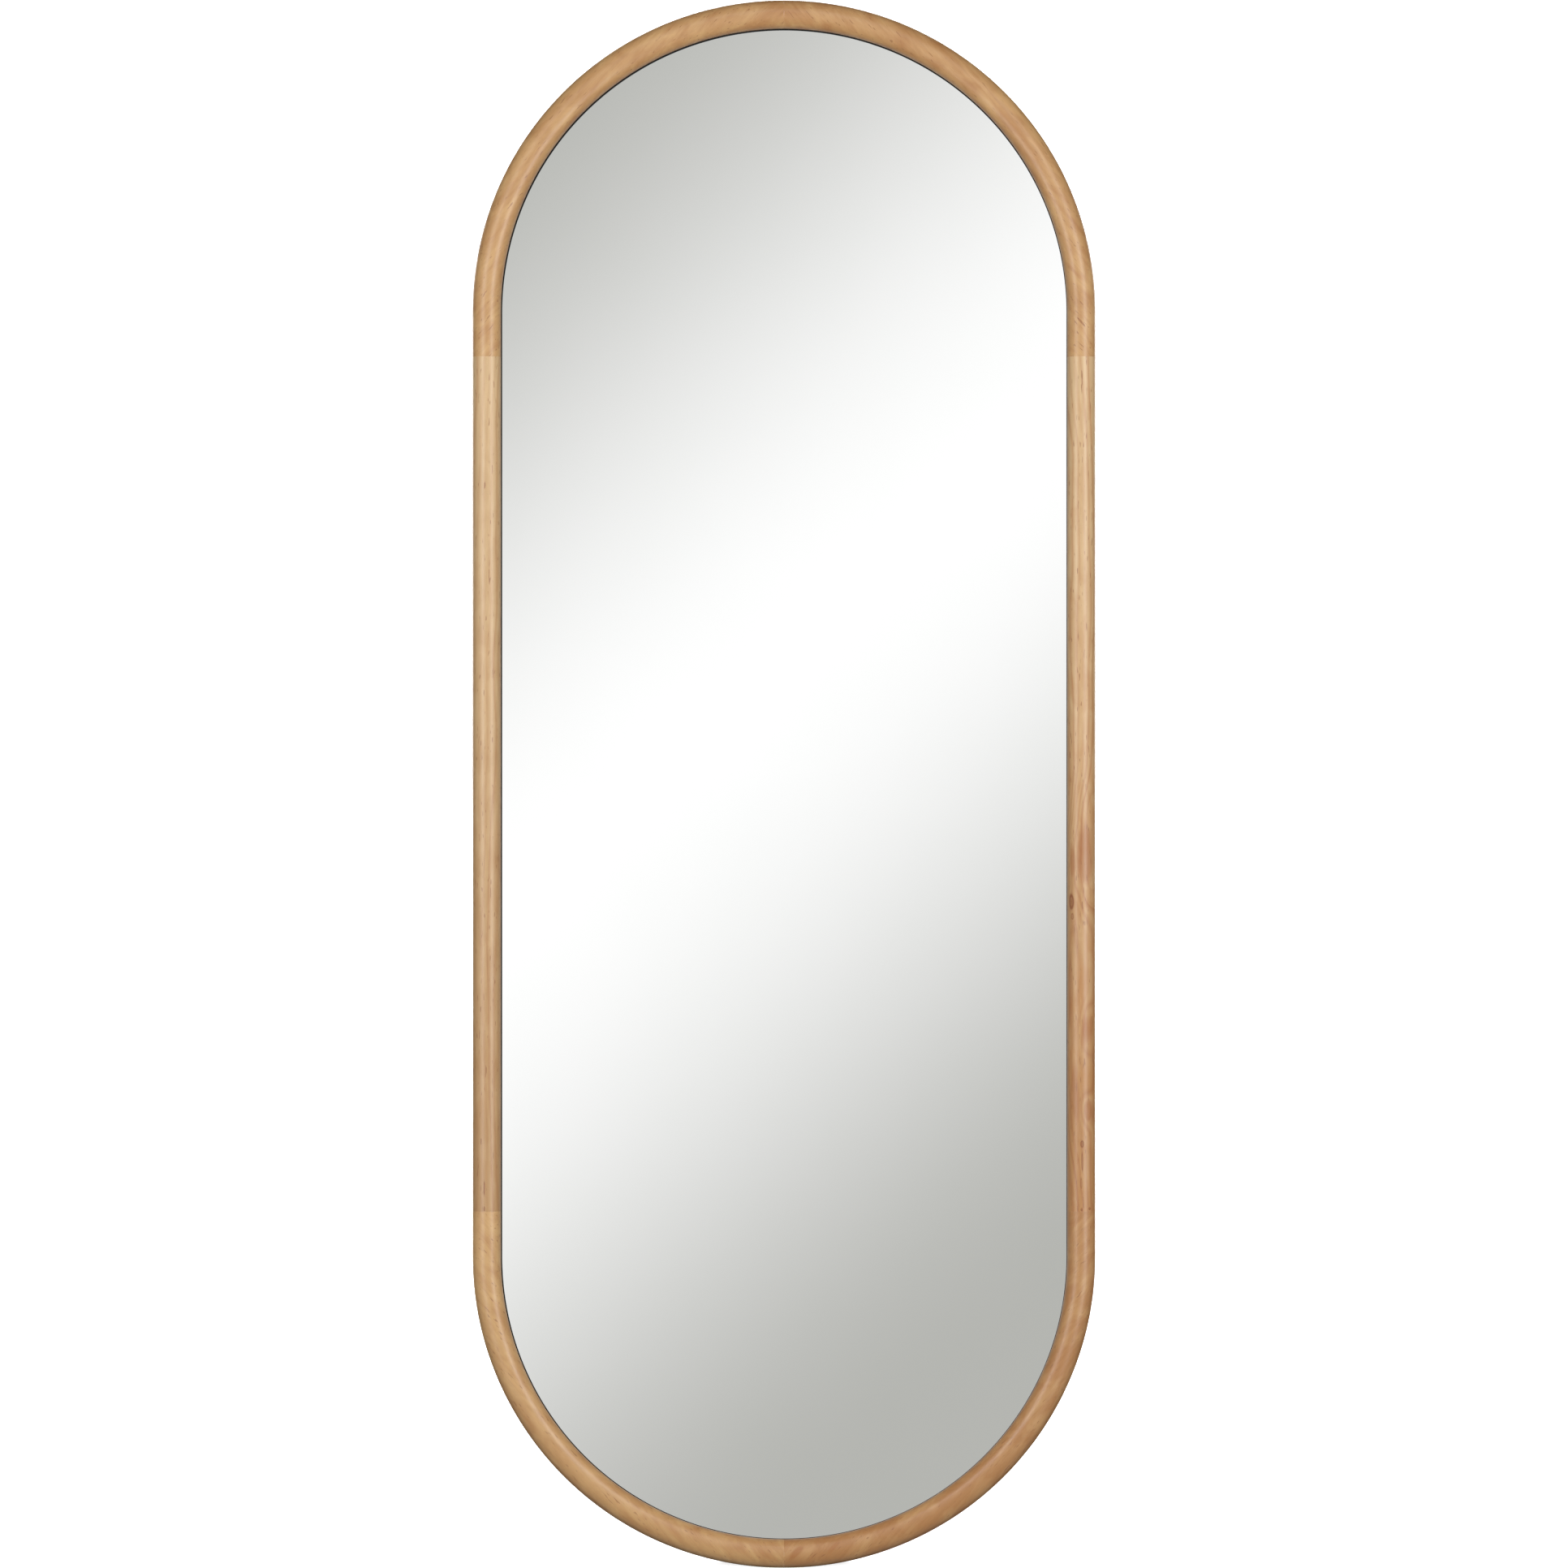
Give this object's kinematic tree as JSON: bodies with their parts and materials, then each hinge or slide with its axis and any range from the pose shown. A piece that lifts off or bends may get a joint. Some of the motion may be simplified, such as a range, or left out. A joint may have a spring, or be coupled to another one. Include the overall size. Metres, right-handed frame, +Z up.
{
  "type": "floor mirror",
  "caption": "Pill-shaped floor mirror in a rounded pine frame, leaning back on a rear easel whose two joined legs fold flat.",
  "frame": {"origin": "on the floor, in the middle of the part's bounding box, with the easel open", "axes": "+Z up, -Y the way the mirror faces, +X to a viewer's right"},
  "size_m": [0.636, 0.3962, 1.5643],
  "materials": {
    "pine": "sanded pine under a clear satin lacquer",
    "beech": "sawn beech tenons",
    "mirror": "silvered float glass",
    "black_foam": "black foam glazing tape",
    "white_foam": "white polyethylene foam",
    "fibreboard": "plain medium-density fibreboard",
    "zinc_plated_steel": "bright zinc plate",
    "black_steel": "black powder coat",
    "rubber": "moulded black rubber"
  },
  "bodies": {
    "mirror": {"back_panel": "fibreboard", "bottom_left_arc": "pine", "bottom_left_tenon": "beech", "bottom_middle_tenon": "beech", "bottom_right_arc": "pine", "bottom_right_tenon": "beech", "foam_sheet": "white_foam", "glazing_strip": "black_foam", "left_bracket_screw_1": "zinc_plated_steel", "left_bracket_screw_2": "zinc_plated_steel", "left_bracket_screw_3": "zinc_plated_steel", "left_leg_bumper": "rubber", "left_lock_nut": "zinc_plated_steel", "left_pivot_bolt": "zinc_plated_steel", "left_pivot_bracket": "black_steel", "left_rail": "pine", "mirror_glass": "mirror", "panel_screw_bottom_left_1": "zinc_plated_steel", "panel_screw_bottom_left_2": "zinc_plated_steel", "panel_screw_bottom_right_1": "zinc_plated_steel", "panel_screw_bottom_right_2": "zinc_plated_steel", "panel_screw_left_rail_1": "zinc_plated_steel", "panel_screw_left_rail_2": "zinc_plated_steel", "panel_screw_left_rail_3": "zinc_plated_steel", "panel_screw_right_rail_1": "zinc_plated_steel", "panel_screw_right_rail_2": "zinc_plated_steel", "panel_screw_right_rail_3": "zinc_plated_steel", "panel_screw_top_left_1": "zinc_plated_steel", "panel_screw_top_left_2": "zinc_plated_steel", "panel_screw_top_right_1": "zinc_plated_steel", "panel_screw_top_right_2": "zinc_plated_steel", "right_bracket_screw_1": "zinc_plated_steel", "right_bracket_screw_2": "zinc_plated_steel", "right_bracket_screw_3": "zinc_plated_steel", "right_leg_bumper": "rubber", "right_lock_nut": "zinc_plated_steel", "right_pivot_bolt": "zinc_plated_steel", "right_pivot_bracket": "black_steel", "right_rail": "pine", "top_left_arc": "pine", "top_left_tenon": "beech", "top_middle_tenon": "beech", "top_right_arc": "pine", "top_right_tenon": "beech"},
    "easel": {"left_foot_pad": "rubber", "left_leg": "pine", "lower_crossbar": "pine", "lower_crossbar_screw_left_1": "zinc_plated_steel", "lower_crossbar_screw_left_2": "zinc_plated_steel", "lower_crossbar_screw_right_1": "zinc_plated_steel", "lower_crossbar_screw_right_2": "zinc_plated_steel", "right_foot_pad": "rubber", "right_leg": "pine", "upper_crossbar": "pine", "upper_crossbar_screw_left_1": "zinc_plated_steel", "upper_crossbar_screw_left_2": "zinc_plated_steel", "upper_crossbar_screw_right_1": "zinc_plated_steel", "upper_crossbar_screw_right_2": "zinc_plated_steel"}
  },
  "joints": [
    {"name": "easel_fold", "type": "hinge", "parent": "mirror", "child": "easel", "pos_m": [0, 0.06294, 1.01909], "axis": [1, 0, 0], "range_deg": [-19, 0]}
  ]
}
